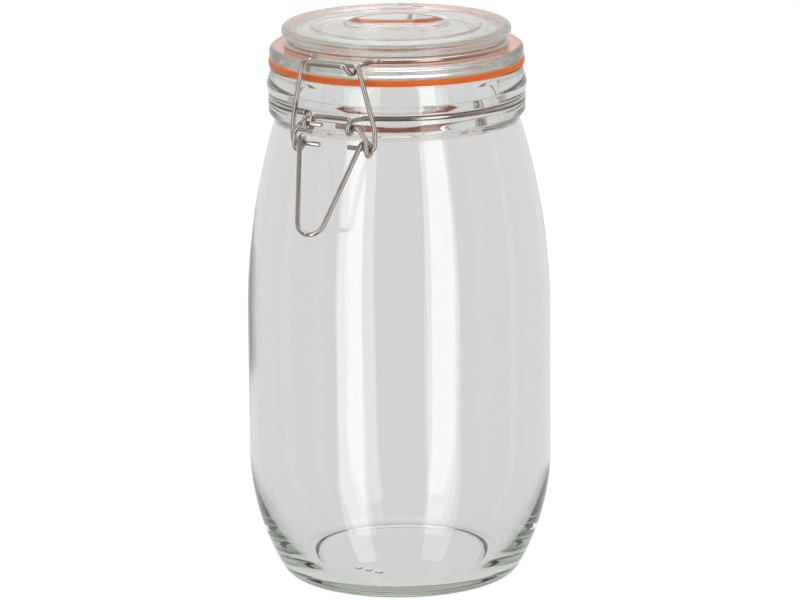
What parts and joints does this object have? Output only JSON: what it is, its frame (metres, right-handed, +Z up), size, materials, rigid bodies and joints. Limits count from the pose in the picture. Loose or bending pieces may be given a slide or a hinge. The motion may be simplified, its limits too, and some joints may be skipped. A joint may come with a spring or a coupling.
{
  "type": "clip-top preserving jar",
  "caption": "Empty clip-top glass preserving jar with a hinged glass lid, rubber seal and wire clasp.",
  "frame": {"origin": "on the jar's upright axis, in the plane of the foot ring that the jar stands on", "axes": "+Z up along the jar's axis, -Y towards the lever clasp, +Y towards the lid's hinge, X across"},
  "size_m": [0.1168, 0.1304, 0.2164],
  "materials": {
    "jar_glass": "clear blown soda-lime glass, fire polished",
    "lid_glass": "clear pressed soda-lime glass",
    "seal_rubber": "orange natural rubber, matt",
    "wire_steel": "bright drawn steel wire"
  },
  "bodies": {
    "jar": {"glass_jar": "jar_glass", "neck_wire": "wire_steel"},
    "lid": {"glass_lid": "lid_glass", "rubber_seal": "seal_rubber", "lid_wire": "wire_steel"},
    "lever": {"lever_wire": "wire_steel"},
    "bail": {"bail_wire": "wire_steel"}
  },
  "joints": [
    {"name": "lid_hinge", "type": "hinge", "parent": "jar", "child": "lid", "pos_m": [0, 0.0536, 0.18645], "axis": [-1, 0, 0], "range_deg": [0, 180]},
    {"name": "lever_pivot", "type": "hinge", "parent": "jar", "child": "lever", "pos_m": [0, -0.0536, 0.18645], "axis": [-1, 0, 0], "range_deg": [0, 120]},
    {"name": "bail_pivot", "type": "hinge", "parent": "lever", "child": "bail", "pos_m": [0, -0.05012, 0.178], "axis": [1, 0, 0], "range_deg": [0, 86.4]}
  ],
  "couplings": [
    {"joint": "bail_pivot", "follows": "lever_pivot", "ratio": 0.72}
  ]
}
